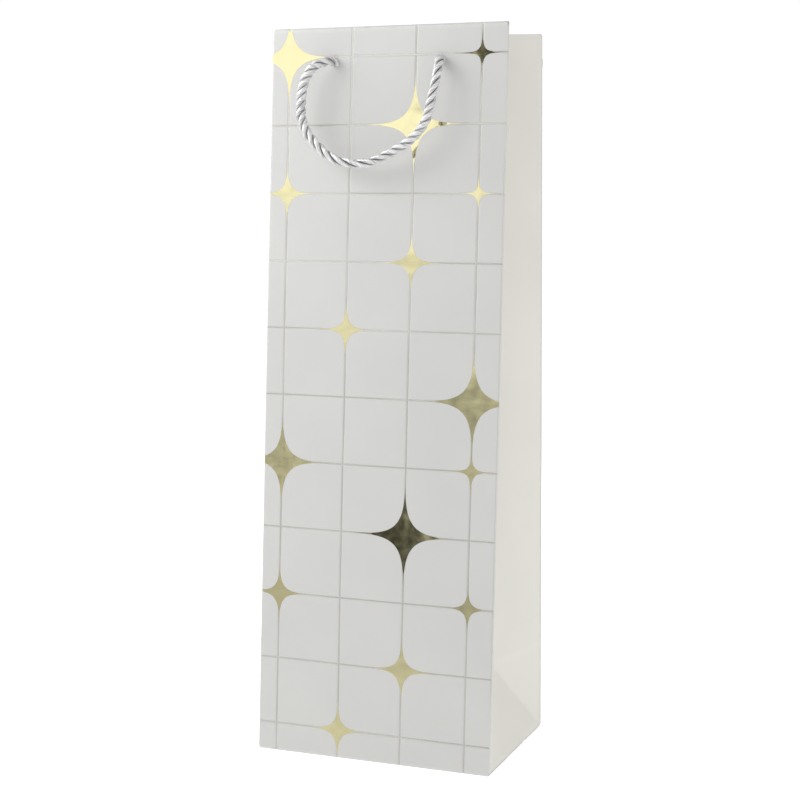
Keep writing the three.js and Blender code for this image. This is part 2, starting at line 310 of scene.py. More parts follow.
# What a glossy surface sees: light at each height (the direction's Z), in stripes round the bag
STUDIO = [
    (-1.0, 0.95),
    (-0.26, 0.75),
    (-0.217, 0.66),
    (-0.175, 0.50),
    (-0.10, 0.46),
    (-0.058, 0.70),
    (-0.0175, 0.33),
    (0.0235, 0.95),
    (0.065, 0.62),
    (0.095, 0.99),
    (0.14, 1.14),
    (1.0, 1.15),
]
STRIPE_AT = math.radians(-22.5)
STRIPE_EVERY = math.radians(25)
STRIPE_DARK = 0.42

# Black cards in the studio, as (direction, reach, share of light left)
DARK_FLAGS = [
    ((-0.281, -0.937, 0.209), 0.072, 0.0),
    ((-0.344, -0.934, -0.099), 0.058, 0.05),
    ((-0.426, -0.903, -0.057), 0.016, 0.3),
    ((-0.3725, -0.928, 0.0235), 0.010, 0.35),
]


def studio_light(nodes, direction):
    """The studio's light: its heights, its stripes and its black cards."""
    parts = nodes.add("ShaderNodeSeparateXYZ", {0: direction}).outputs
    height = nodes.scaled(parts["Z"], 0.5, 0.5)
    studio = nodes.ramp(height, [(z / 2 + 0.5, grey(light)) for z, light in STUDIO])
    heading = nodes.math("ARCTAN2", parts["X"], nodes.math("MULTIPLY", parts["Y"], -1.0))
    rate = 2 * math.pi / STRIPE_EVERY
    wave = nodes.math("COSINE", nodes.scaled(heading, rate, -STRIPE_AT * rate))
    shades = [(0.1, grey(STRIPE_DARK)), (0.75, grey(1))]
    stripe = nodes.ramp(nodes.scaled(wave, 0.5, 0.5), shades, "EASE")
    studio = nodes.mix(1.0, studio, stripe, "MULTIPLY")
    for towards, reach, shade in DARK_FLAGS:
        offset = nodes.add("ShaderNodeVectorMath", {0: direction, 1: unit(np.array(towards))})
        offset.operation = "DISTANCE"
        share = nodes.math("DIVIDE", offset.outputs["Value"], reach)
        edge = nodes.ramp(share, [(0.0, grey(shade)), (0.7, grey(shade)), (1.0, grey(1))], "EASE")
        studio = nodes.mix(1.0, studio, edge, "MULTIPLY")
    return studio


def make_world():
    """White all round, with the studio for whatever is glossy to reflect."""
    world = bpy.data.worlds.new("studio")
    world.use_nodes = True
    world.cycles.sampling_method = "NONE"
    bpy.context.scene.world = world
    nodes = Nodes(world.node_tree)
    studio = studio_light(nodes, nodes.add("ShaderNodeTexCoord").outputs["Generated"])
    rays = nodes.add("ShaderNodeLightPath").outputs
    plain = nodes.mix(rays["Is Camera Ray"], grey(SKY), grey(BACKDROP))
    colour = nodes.mix(rays["Is Glossy Ray"], plain, studio)
    background = nodes.add("ShaderNodeBackground", {"Color": colour, "Strength": 1.0})
    output = nodes.add("ShaderNodeOutputWorld")
    nodes.feed(output.inputs["Surface"], background.outputs[0])


def make_floor():
    """A wide pale disc just under the bag."""
    radius = 3
    height = -0.0002
    ring = [
        (radius * math.cos(angle), radius * math.sin(angle), height)
        for angle in np.linspace(0, 2 * math.pi, 96, endpoint=False)
    ]
    mesh = bpy.data.meshes.new("floor")
    mesh.from_pydata(ring, [], [tuple(range(len(ring)))])
    floor = bpy.data.objects.new("floor", mesh)
    bpy.context.collection.objects.link(floor)
    nodes, shader = new_material("floor_paint")
    spots = nodes.noise(nodes.place(), 3.0)
    nodes.feed(shader.inputs["Base Color"], nodes.mix(spots, grey(0.95), grey(0.97)))
    shader.inputs["Roughness"].default_value = 0.9
    shader.inputs["Emission Color"].default_value = grey(1)
    shader.inputs["Emission Strength"].default_value = 0.56
    mesh.materials.append(bpy.data.materials["floor_paint"])
    floor.visible_glossy = False


# Materials


def new_material(name):
    material = bpy.data.materials.new(name)
    material.use_nodes = True
    nodes = Nodes(material.node_tree)
    shader = nodes.add("ShaderNodeBsdfPrincipled")
    output = nodes.add("ShaderNodeOutputMaterial")
    nodes.feed(output.inputs["Surface"], shader.outputs[0])
    return nodes, shader


def coated_paper(name, colour, shaded, roughness, stamped=False):
    """Smooth coated stock: faint clouding, a fine grain, and a lighter line along the folds: partly
    fibres showing at the worn folds, partly a painted highlight.
    """
    nodes, shader = new_material(name)
    flat = nodes.flat()
    clouds = nodes.noise(flat, 22, 3)
    tint = nodes.mix(nodes.ramp(clouds, [(0.35, grey(0)), (0.65, grey(1))]), shaded, colour)
    # Painted highlight and wear: the colour is lighter along folds, creases and the rim, partly worn
    # fibres and partly the light a rounded fold catches.
    on_fold = nodes.add("ShaderNodeAttribute", attribute_name="fold").outputs["Fac"]
    patchy = nodes.ramp(nodes.noise(flat, 240, 3), [(0.35, grey(0.25)), (0.6, grey(1))])
    wear_and_highlight = nodes.math("MULTIPLY", nodes.math("MULTIPLY", on_fold, patchy), 0.25)
    nodes.feed(shader.inputs["Base Color"], nodes.mix(wear_and_highlight, tint, (0.80, 0.79, 0.76, 1)))
    gloss = nodes.scaled(clouds, 0.10, roughness - 0.05)
    nodes.feed(shader.inputs["Roughness"], nodes.math("ADD", gloss, nodes.math("MULTIPLY", wear_and_highlight, 0.3)))
    relief = nodes.bump(nodes.noise(flat, 2600, 2), 0.16, 0.00004)
    relief = nodes.bump(nodes.noise(flat, 38, 1), 0.25, 0.0006, relief)
    if stamped:
        relief = nodes.bump(stamp_depth(nodes, flat), 0.9, 0.00025, relief)
    nodes.feed(shader.inputs["Normal"], relief)
    return bpy.data.materials[name]


def stamp_depth(nodes, flat):
    """0 along the print's lines, where the stamp presses the paper in, and 1 away from them."""
    groove_width = 0.0009
    parts = nodes.add("ShaderNodeSeparateXYZ", {0: flat}).outputs
    away = []
    for axis, start in (("X", COLUMNS[0]), ("Y", ROWS[-1])):
        cells = nodes.scaled(parts[axis], 1 / CELL, 0.5 - start / CELL)
        share = nodes.math("SUBTRACT", nodes.math("FRACT", cells), 0.5)
        away.append(nodes.math("MULTIPLY", nodes.math("ABSOLUTE", share), CELL / groove_width))
    groove = nodes.math("MINIMUM", nodes.math("MINIMUM", *away), 1.0)
    on_flap = nodes.math("LESS_THAN", parts["Y"], 0.0)
    on_hem = nodes.math("GREATER_THAN", parts["Y"], HEIGHT)
    return nodes.math("MAXIMUM", groove, nodes.math("ADD", on_flap, on_hem))


def raw_paper(name, coordinates, stretch, roughness):
    """The sheet's uncoated side, matt."""
    nodes, shader = new_material(name)
    spot = coordinates(nodes)
    fibres = nodes.noise(nodes.stretched(spot, stretch), 1.0, 4, 0.65)
    tint = nodes.mix(nodes.noise(spot, 60, 3), (0.70, 0.69, 0.66, 1), (0.76, 0.755, 0.73, 1))
    specks = nodes.ramp(fibres, [(0.28, grey(0.93)), (0.5, grey(1))])
    nodes.feed(shader.inputs["Base Color"], nodes.mix(1.0, tint, specks, "MULTIPLY"))
    shader.inputs["Roughness"].default_value = roughness
    nodes.feed(shader.inputs["Normal"], nodes.bump(fibres, 0.3, 0.00006))
    return bpy.data.materials[name]


def chip_card(name):
    """Grey-white chipboard with flecks."""
    nodes, shader = new_material(name)
    place = nodes.place()
    fibres = nodes.noise(nodes.stretched(place, (700, 260, 500)), 1.0, 5, 0.7)
    flecks = nodes.ramp(nodes.noise(place, 900, 2), [(0.66, grey(1)), (0.72, grey(0.72))])
    tint = nodes.mix(fibres, (0.47, 0.44, 0.39, 1), (0.66, 0.63, 0.58, 1))
    nodes.feed(shader.inputs["Base Color"], nodes.mix(1.0, tint, flecks, "MULTIPLY"))
    shader.inputs["Roughness"].default_value = 0.92
    nodes.feed(shader.inputs["Normal"], nodes.bump(fibres, 0.4, 0.00012))
    return bpy.data.materials[name]


def stamped_foil(name, dull, bright, metallic, roughness):
    """Pale gold foil, pressed into the paper: bright metal with the paper's faint unevenness."""
    nodes, shader = new_material(name)
    flat = nodes.flat()
    nodes.feed(shader.inputs["Base Color"], nodes.mix(nodes.noise(flat, 90, 2), dull, bright))
    shader.inputs["Metallic"].default_value = metallic
    rough = nodes.scaled(nodes.noise(flat, 300, 3), 0.08, roughness)
    nodes.feed(shader.inputs["Roughness"], rough)
    press = nodes.bump(nodes.noise(flat, 1500, 2), 0.10, 0.00003)
    nodes.feed(shader.inputs["Normal"], nodes.bump(nodes.noise(flat, 95, 1), 0.24, 0.0005, press))
    return bpy.data.materials[name]


def satin_rope(name):
    """Silvery white filament yarn: streaks along the strand, a soft gloss and painted shade in the
    grooves between the strands.
    """
    nodes, shader = new_material(name)
    streaks = nodes.noise(nodes.stretched(nodes.flat(), (1700, 130, 1)), 1.0, 4, 0.62)
    fine = nodes.ramp(streaks, [(0.34, grey(0)), (0.58, grey(1))])
    tint = nodes.mix(fine, (0.33, 0.335, 0.345, 1), (0.95, 0.95, 0.95, 1))
    # Painted shade: the colour darkens on each strand's inner side, in the grooves between the
    # strands.
    groove = nodes.add("ShaderNodeAttribute", attribute_name="groove").outputs["Fac"]
    shade = nodes.ramp(groove, [(0.0, grey(1)), (0.38, grey(0.74)), (0.80, grey(0.08))], "EASE")
    nodes.feed(shader.inputs["Base Color"], nodes.mix(1.0, tint, shade, "MULTIPLY"))
    shader.inputs["Metallic"].default_value = 0.30
    shader.inputs["Roughness"].default_value = 0.26
    shader.inputs["Sheen Weight"].default_value = 0.25
    shader.inputs["Sheen Roughness"].default_value = 0.35
    nodes.feed(shader.inputs["Normal"], nodes.bump(streaks, 0.5, 0.00012))
    return bpy.data.materials[name]


# Meshes


def mesh_object(name, points, faces, materials, flat=None, marks=None, sharp_from=25):
    """A mesh object. flat places its points in the flat sheet, marks adds values to them."""
    mesh = bpy.data.meshes.new(name)
    mesh.from_pydata([tuple(p) for p in points], [], faces)
    for material in materials:
        mesh.materials.append(material)
    if flat is not None:
        layer = mesh.uv_layers.new(name="flat")
        corners = np.zeros(len(mesh.loops), dtype=np.int32)
        mesh.loops.foreach_get("vertex_index", corners)
        layer.data.foreach_set("uv", np.asarray(flat, np.float32)[corners].ravel())
    for label, values in (marks or {}).items():
        attribute = mesh.attributes.new(label, "FLOAT", "POINT")
        attribute.data.foreach_set("value", np.asarray(values, np.float32))
    mesh.shade_smooth()
    if sharp_from:
        mesh.set_sharp_from_angle(angle=math.radians(sharp_from))
    mesh.update()
    made = bpy.data.objects.new(name, mesh)
    bpy.context.collection.objects.link(made)
    return made


def bake_modifiers(piece):
    """Turns a piece's modifiers into its mesh."""
    graph = bpy.context.evaluated_depsgraph_get()
    finished = bpy.data.meshes.new_from_object(piece.evaluated_get(graph))
    piece.modifiers.clear()
    piece.data = finished
    return piece


class Sheet:
    """Collects grids of points into one surface. Grids join where their points meet."""

    def __init__(self):
        self.points = []
        self.flat = []
        self.fold = []
        self.faces = []
        self.index = {}

    def vertex(self, point, flat, fold):
        """The number of a point, which is an earlier one's if they meet."""
        key = tuple(np.round(np.asarray(point) * 1e7).astype(np.int64))
        if key not in self.index:
            self.index[key] = len(self.points)
            self.points.append(point)
            self.flat.append(flat)
            self.fold.append(fold)
        return self.index[key]

    def grid(self, points, flat, fold, turned=False, diagonal=None):
        """points and flat are [row][column]. diagonal tells which way a cell is cut, 1, -1 or 0."""
        rows, columns = len(points), len(points[0])
        made = [
            [self.vertex(points[i][j], flat[i][j], fold[i][j]) for j in range(columns)]
            for i in range(rows)
        ]
        for i in range(rows - 1):
            for j in range(columns - 1):
                a, b = made[i][j], made[i][j + 1]
                c, d = made[i + 1][j + 1], made[i + 1][j]
                way = diagonal(i, j) if diagonal else 0
                if way > 0:
                    cells = [[a, b, c], [a, c, d]]
                elif way < 0:
                    cells = [[a, b, d], [b, c, d]]
                else:
                    cells = [[a, b, c, d]]
                for cell in cells:
                    ring = [v for k, v in enumerate(cell) if v != cell[k - 1]]
                    if len(ring) > 2:
                        self.faces.append(ring[::-1] if turned else ring)

    def make(self, name, outside, inside):
        """The surface as a sheet of paper, its thickness behind it."""
        marks = {"fold": self.fold}
        piece = mesh_object(name, self.points, self.faces, [outside, inside], self.flat, marks)
        solid = piece.modifiers.new("thickness", "SOLIDIFY")
        solid.thickness = PAPER
        solid.offset = -1
        solid.use_even_offset = True
        solid.material_offset = 1
        solid.material_offset_rim = 1
        return piece


def fold_arc(corner, into, out_of):
    """The points of a rounded fold at corner, from direction into to out_of, and its reach."""
    turn = math.acos(float(np.clip(into @ out_of, -1, 1)))
    inward = unit(out_of - (out_of @ into) * into)
    reach = FOLD_RADIUS * math.tan(turn / 2)
    start = corner - reach * into
    points = [
        start + FOLD_RADIUS * (math.sin(angle) * into + (1 - math.cos(angle)) * inward)
        for angle in np.linspace(0, turn, FOLD_STEPS + 1)
    ]
    return points, reach


def steps_to(end):
    """Places every STEP, to just short of end."""
    return np.arange(STEP, end - 1e-6, STEP)


# The gussets: a side of the sheet, 90 mm wide when flat, creased into a V above a triangle


class Gusset:
    """Where the flat sheet of a side goes. side is 1 on the right and -1 on the left."""

    def __init__(self, side):
        self.side = side
        fold = corner_at(1, 1, CREASE)
        up = (fold[2] ** 2 + fold[1] ** 2) / (2 * fold[2])
        inset = math.sqrt(CREASE**2 - up**2)
        self.apex = np.array([side * (WIDTH / 2 - inset), 0, up])
        self.valley_top = self._valley_top(inset, up)

    def _valley_top(self, apex_inset, apex_up):
        """The valley's end at the rim, which keeps both its length and each half's width."""
        corner = corner_at(1, 1, HEIGHT)
        length = HEIGHT - CREASE
        inset, up = apex_inset, corner[2]
        for _ in range(20):
            inset = math.sqrt(CREASE**2 - corner[1] ** 2 - (up - corner[2]) ** 2)
            up = apex_up + math.sqrt(length**2 - (inset - apex_inset) ** 2)
        return np.array([self.side * (WIDTH / 2 - inset), 0, up])

    def bare(self, u, v):
        """Where a point of the flat sheet goes: u from the front corner, v up from the bottom."""
        end = -1 if u <= CREASE else 1
        across = u if end < 0 else DEPTH - u
        foot, fold = corner_at(self.side, end, 0), corner_at(self.side, end, CREASE)
        if v >= CREASE:
            share = (v - CREASE) / (HEIGHT - CREASE)
            outer = fold + share * (corner_at(self.side, end, HEIGHT) - fold)
            inner = self.apex + share * (self.valley_top - self.apex)
            return outer + across / CREASE * (inner - outer)
        if across < v:
            return foot + (v - across) / CREASE * (fold - foot) + across / CREASE * (self.apex - foot)
        base = corner_at(self.side, -1, 0)
        other = corner_at(self.side, 1, 0)
        middle = (base + other) / 2
        return base + u / DEPTH * (other - base) + v / CREASE * (self.apex - middle)

    def normal(self, u, v):
        """Out of the paper, towards the outside."""
        small = 1e-5
        sideways = self.bare(u + small, v) - self.bare(u - small, v)
        upward = self.bare(u, v + small) - self.bare(u, v - small)
        return self.side * unit(np.cross(sideways, upward))

    def point(self, u, v, depth=0.0):
        """As bare, with the paper's slight curve, and depth into the bag."""
        lengthways = math.sin(math.pi * min(max((v - CREASE) / (HEIGHT - CREASE), 0), 1))
        sideways = math.sin(2 * math.pi * min(max(u / DEPTH, 0), 1)) ** 2
        out = SIDE_SWELL * lengthways * sideways - depth
        if abs(u - CREASE) > 1e-6:
            return self.bare(u, v) + out * self.normal(u, v)
        beside = 1e-4
        front = self.normal(u - beside, v)
        back = self.normal(u + beside, v)
        middle = unit(front + back)
        return self.bare(u, v) + out / float(middle @ front) * middle

    def leaving(self, end, v):
        """The direction in which the sheet leaves a corner fold."""
        run = 0.002
        near, far = (0, run) if end < 0 else (DEPTH, DEPTH - run)
        return unit(self.bare(far, v) - self.bare(near, v))


GUSSETS = {word: Gusset(side) for word, side in SIDES.items()}


def corner_fold(side_word, end, up):
    """The rounded corner fold at one height, from the panel to the gusset, and its reach."""
    gusset = GUSSETS[side_word]
    into = np.array([float(gusset.side), 0, 0])
    return fold_arc(corner_at(gusset.side, end, up), into, gusset.leaving(end, up))


def side_rows():
    """The heights of a side's rows, about a STEP apart, with one at the top of the triangle."""
    lowest = 0.0012
    above = np.linspace(CREASE, HEIGHT - RIM_THIN, 106)
    return [lowest, *steps_to(CREASE), *above]


def make_side(word, outside, inside):
    """A side of the bag: the triangle at its foot, the two halves of the V and their hem."""
    gusset = GUSSETS[word]
    inner = steps_to(DEPTH)
    rows = side_rows()
    points, flats, folds = [], [], []
    for v in rows:
        front, front_in = corner_fold(word, -1, v)
        back, back_in = corner_fold(word, 1, v)
        us = [front_in, *inner, DEPTH - back_in]
        points.append([front[-1]] + [gusset.point(u, v) for u in inner] + [back[-1]])
        flats.append([(WIDTH / 2 + u, v) for u in us])
        folds.append([fold_wear_and_highlight(u, v) for u in us])

    def cut(i, j):
        """Below the apex, cells are cut along their half's slanting crease."""
        middle = (rows[i] + rows[min(i + 1, len(rows) - 1)]) / 2
        if middle > CREASE:
            return 0
        return 1 if j < len(inner) // 2 + 1 else -1

    sheet = Sheet()
    sheet.grid(points, flats, folds, turned=word == "left", diagonal=cut)
    hem_points, hem_flats, hem_folds = hem_of_side(gusset, points[-1], flats[-1])
    sheet.grid(hem_points, hem_flats, hem_folds, turned=word == "left")
    piece = bake_modifiers(sheet.make(f"{word}_gusset_sheet", outside, inside))
    nodes = [f"{word}_gusset_base"]
    for end in ("front", "back"):
        nodes += [f"{word}_{end}_{part}" for part in ("gusset_fold", "gusset", "gusset_hem")]
    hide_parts(*nodes)
    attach(piece, "bag")


def hem_of_side(gusset, top, top_flat):
    """The strip turned in over the gusset's rim, its corners tucked back."""
    fold_share = 0.4  # of the tuck, done by the end of the rim's fold
    ease = 0.004  # how far down the hem a whole tuck would take
    us = [u - WIDTH / 2 for u, _ in top_flat]
    points, flats, folds = [top], [top_flat], [[1.0] * len(us)]
    for angle in np.linspace(0, math.pi, 6)[1:]:
        depth = RIM_THIN * (1 - math.cos(angle))
        v = HEIGHT - RIM_THIN + RIM_THIN * math.sin(angle)
        pulled = tucked(us, angle / math.pi * fold_share)
        points.append([gusset.point(u, v, depth) for u in pulled])
        flats.append([(WIDTH / 2 + u, HEIGHT + angle * RIM_THIN) for u in pulled])
        folds.append([0.8] * len(us))
    for down in np.linspace(STEP, HEM, HEM_ROWS):
        pulled = tucked(us, min(1, fold_share + down / ease))
        points.append([gusset.point(u, HEIGHT - RIM_THIN - down, 2 * RIM_THIN) for u in pulled])
        flats.append([(WIDTH / 2 + u, HEIGHT + down) for u in pulled])
        folds.append([0.0] * len(us))
    return points, flats, folds


def tucked(us, share):
    """Places across a gusset, drawn away from its corners by a share of the tuck."""
    tuck = 0.0024
    return [CREASE + (u - CREASE) * (1 - share * tuck / CREASE) for u in us]


def fold_wear_and_highlight(u, v):
    """1 on the creases and edges of a gusset, 0 elsewhere: where the paper is painted lighter, partly
    wear and partly a painted highlight.
    """
    across = min(u, DEPTH - u)
    width = 0.0006
    distances = [across, HEIGHT - v]
    if v >= CREASE:
        distances += [CREASE - across, v - CREASE]
    else:
        distances += [abs(across - v) / math.sqrt(2), CREASE - v if across < v else 1]
    return 1.0 if min(distances) < width else 0.0


# The front and back: bottom flap, panel, rolled rim and hem in one run of the sheet


def flap_height(word, reach):
    """How high a bottom flap is, that far in: the back one climbs on to the front one."""
    if word == "front":
        return 0.0
    gap = 0.0003
    climb = 0.0016
    start = DEPTH - FLAP - gap - climb
    return LAYER * float(smooth((reach - start) / climb))


class FaceRows:
    """Rows across a face, in order from its bottom flap up the panel and over into its hem."""

    def __init__(self, word):
        self.word = word
        self.points = []
        self.flats = []
        self.folds = []

    def add(self, edge, v, wear_and_highlight, place):
        """A row from -edge to edge, at v on the flat sheet. place gives its points."""
        reach = 0.060
        margin = 0.0006
        inner = np.arange(-reach, reach + STEP / 2, STEP)
        across = np.concatenate([[-edge], inner * min(1, (edge - margin) / reach), [edge]])
        self.points.append(place(across))
        self.flats.append([(x, v) for x in across])
        self.folds.append([wear_and_highlight] * len(across))

    def add_level(self, edge, v, wear_and_highlight, y, z):
        """A row at one place and height under the front face, or its twin under the back."""
        turn = FACES[self.word]
        self.add(edge, v, wear_and_highlight, lambda x: np.stack(np.broadcast_arrays(turn * x, turn * y, z), -1))

    def add_sloping(self, edge, v, wear_and_highlight, depth, up):
        """A row at one depth and height of the face's own frame."""
        self.add(edge, v, wear_and_highlight, lambda x: on_face(self.word, x, depth, up))


def add_flap(rows):
    """The bottom flap, from its free edge to its crease."""
    for reach in np.linspace(FLAP, STEP, 20):
        height = flap_height(rows.word, reach)
        rows.add_level(FLAP_EDGE, -reach, 0.0, reach - DEPTH / 2, height)


def add_bottom_crease(rows):
    """The rounded crease between flap and panel, a little wider towards the panel."""
    widening = 0.0003
    crease, _ = fold_arc(np.array([0, -DEPTH / 2, 0]), np.array([0.0, -1, 0]), UPWARD)
    for number, (_, y, z) in enumerate(crease):
        share = number / FOLD_STEPS
        rows.add_level(FLAP_EDGE + share * widening, (share - 0.5) * FOLD_RADIUS, 1.0, y, z)


def add_panel(rows):
    """The panel. Returns its rows' heights, its corner folds, and its edge at the rim."""
    word = rows.word
    right_word, left_word = ("right", "left") if word == "front" else ("left", "right")
    lowest = 0.0016
    highest = HEIGHT - RIM_THICK
    heights = [lowest, *steps_to(highest), highest]
    corners = {1: [], -1: []}
    for up in heights:
        right, tight = corner_fold(right_word, -FACES[word], up)
        left, _ = corner_fold(left_word, -FACES[word], up)
        corners[1].append(right)
        corners[-1].append(left)
        edge = WIDTH / 2 - tight
        # The rim's fold is painted lighter here: partly wear, partly a painted highlight.
        wear_and_highlight = 1.0 if up > HEIGHT - 0.002 else 0.0
        rows.add(edge, up, wear_and_highlight, lambda x: on_face(word, x, -swell(x, up), up))
    return heights, corners, edge


def add_rim(rows, panel_edge):
    """The rolled rim, which narrows as it turns in."""
    for angle in np.linspace(0, math.pi, 9)[1:]:
        depth = RIM_THICK * (1 - math.cos(angle))
        up = HEIGHT - RIM_THICK + RIM_THICK * math.sin(angle)
        edge = panel_edge - RIM_TUCK * angle / math.pi
        rows.add_sloping(edge, HEIGHT + RIM_THICK * (angle - math.pi / 2), 0.8, depth, up)


def add_hem(rows, panel_edge):
    """The hem inside, its upper corners slanting in."""
    inset = 0.0056
    for down in np.linspace(STEP, HEM - RIM_THICK, HEM_ROWS):
        edge = max(WIDTH / 2 - inset, panel_edge - RIM_TUCK - down)
        up = HEIGHT - RIM_THICK - down
        rows.add_sloping(edge, HEIGHT + RIM_THICK + down, 0.0, 2 * RIM_THICK, up)


def add_corners(sheet, heights, corners):
    """The rounded corner folds beside a panel, which its sheet takes with it."""
    turn = 1.6  # about a corner fold's angle
    run = FOLD_RADIUS * np.linspace(0, turn, FOLD_STEPS + 1)
    for side, arcs in corners.items():
        points = arcs if side > 0 else [arc[::-1] for arc in arcs]
        us = WIDTH / 2 + (run if side > 0 else run[::-1])
        flats = [[(side * u, up) for u in us] for up in heights]
        sheet.grid(points, flats, [[1.0] * len(us)] * len(heights))


def make_face(word, outside, inside):
    """A face of the bag with its flap, corner folds, rim and hem, punched for the rope."""
    rows = FaceRows(word)
    add_flap(rows)
    add_bottom_crease(rows)
    heights, corners, edge = add_panel(rows)
    add_rim(rows, edge)
    add_hem(rows, edge)
    sheet = Sheet()
    sheet.grid(rows.points, rows.flats, rows.folds)
    add_corners(sheet, heights, corners)
    piece = sheet.make(f"{word}_panel_sheet", outside, inside)
    punch(piece, word)
    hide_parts(f"{word}_panel", f"{word}_hem", f"bottom_flap_{word}")
    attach(piece, "bag")


def tube_faces(first, rings, sides):
    """The faces of a closed tube, whose points are numbered ring by ring from first."""
    faces = []
    for k in range(rings - 1):
        low = first + k * sides
        high = low + sides
        for j in range(sides):
            after = (j + 1) % sides
            faces.append([low + j, low + after, high + after, high + j])
    last = first + (rings - 1) * sides
    faces.append([first + j for j in range(sides)][::-1])
    faces.append([last + j for j in range(sides)])
    return faces


def punch(piece, word):
    """Cuts the two cord holes through the panel and its hem."""
    sides = 36
    points = []
    faces = []
    for side in (-1, 1):
        faces += tube_faces(len(points), 2, sides)
        for depth in (-0.003, 0.005):
            for angle in np.linspace(0, 2 * math.pi, sides, endpoint=False):
                across = side * HOLE_SPACING / 2 + HOLE_RADIUS * math.cos(angle)
                up = HOLE_UP + HOLE_RADIUS * math.sin(angle)
                points.append(on_face(word, across, depth, up))
    cutter = mesh_object(f"{word}_punch", points, faces, [], sharp_from=0)
    cut = piece.modifiers.new("punch", "BOOLEAN")
    cut.operation = "DIFFERENCE"
    cut.solver = "EXACT"
    cut.object = cutter
    bake_modifiers(piece)
    bpy.data.objects.remove(cutter)


# The print


def star_curve(reach, fullness):
    """The power p and the tip's distance t of a star's outline, |x|^p + |z|^p = t^p."""
    return 0.16 + 0.23 * fullness, reach * (3.15 - 1.6 * fullness)


def star_rings(reach, fullness, shares, count):
    """Rings of a four-pointed star with concave sides."""
    power, tip = star_curve(reach, fullness)
    angles = np.linspace(0, 2 * math.pi, count, endpoint=False)
    outline = np.stack(
        [np.sign(f(angles)) * np.abs(f(angles)) ** (2 / power) for f in (np.cos, np.sin)], -1
    )
    return [share * tip * outline for share in shares]


class Shape:
    """The print, its points as (across, up) in a face's frame and a lift above the paper."""

    def __init__(self):
        self.places = []
        self.lifts = []
        self.faces = []

    def add(self, place, lift):
        self.places.append(place)
        self.lifts.append(lift)
        return len(self.places) - 1


def add_star(shape, column, row, reach, fullness):
    """A star as rings round its middle."""
    shares = [0.12, 0.25, 0.4, 0.55, 0.7, 0.82, 0.92, 0.97, 1.0]
    count = 128
    lift = 0.000045
    middle = np.array([COLUMNS[column], ROWS[row]])
    centre = shape.add(middle, lift)
    rings = [
        [shape.add(middle + point, lift) for point in ring]
        for ring in star_rings(reach, fullness, shares, count)
    ]
    for k in range(count):
        after = (k + 1) % count
        shape.faces.append([centre, rings[0][k], rings[0][after]])
        for inner, outer in zip(rings, rings[1:]):
            shape.faces.append([inner[k], outer[k], outer[after], inner[after]])


def add_line(shape, start, finish, seed):
    """A stamped line, with a slow twist that makes its shine come and go."""
    spacing = 0.0015
    length = np.linalg.norm(finish - start)
    along = unit(finish - start)
    beside = np.array([-along[1], along[0]])
    lift = 0.000030 if along[1] > 0.5 else 0.000038  # lines across lie on top
    rows = []
    for share in np.linspace(0, 1, int(length / spacing) + 1):
        place = start + share * (finish - start)
        travel = share * length
        slow = 0.06 * math.sin(travel * 38 + seed * 2.1)
        quick = 0.04 * math.sin(travel * 91 + seed)
        tilt = slow + quick
        rows.append(
            [
                shape.add(place + side * beside * LINE / 2, lift + max(0, side * tilt) * LINE)
                for side in (1, 0, -1)
            ]
        )
    for before, after in zip(rows, rows[1:]):
        middle = (shape.places[before[1]] + shape.places[after[1]]) / 2
        if at_hole(middle) or in_star(middle):
            continue
        for k in (0, 1):
            shape.faces.append([before[k], before[k + 1], after[k + 1], after[k]])


def at_hole(place):
    """Whether a place on a line lies in a cord hole or on its edge."""
    margin = 0.0004
    holes = [np.array([side * HOLE_SPACING / 2, HOLE_UP]) for side in (-1, 1)]
    return min(np.linalg.norm(place - hole) for hole in holes) < HOLE_RADIUS + margin


def in_star(place):
    """Whether a place on a line lies where a star's arm covers the line."""
    covering = 0.6 * LINE
    for column, row, reach, fullness in STARS:
        power, tip = star_curve(reach, fullness)
        offset = np.abs(place - np.array([COLUMNS[column], ROWS[row]]))
        along = max(offset)
        if min(offset) < LINE and along < tip:
            if (tip**power - along**power) ** (1 / power) > covering:
                return True
    return False


def clip_print(mesh, reach, low, high):
    """Cuts off what runs past the face's edges, in the face's own frame."""
    work = bmesh.new()
    work.from_mesh(mesh)
    for place, outward in (
        ((reach, 0, 0), (1, 0, 0)),
        ((-reach, 0, 0), (-1, 0, 0)),
        ((0, 0, high), (0, 0, 1)),
        ((0, 0, low), (0, 0, -1)),
    ):
        everything = work.verts[:] + work.edges[:] + work.faces[:]
        bmesh.ops.bisect_plane(
            work, geom=everything, dist=1e-7, plane_co=place, plane_no=outward, clear_outer=True
        )
    bmesh.ops.delete(work, geom=[v for v in work.verts if not v.link_faces], context="VERTS")
    work.to_mesh(mesh)
    work.free()


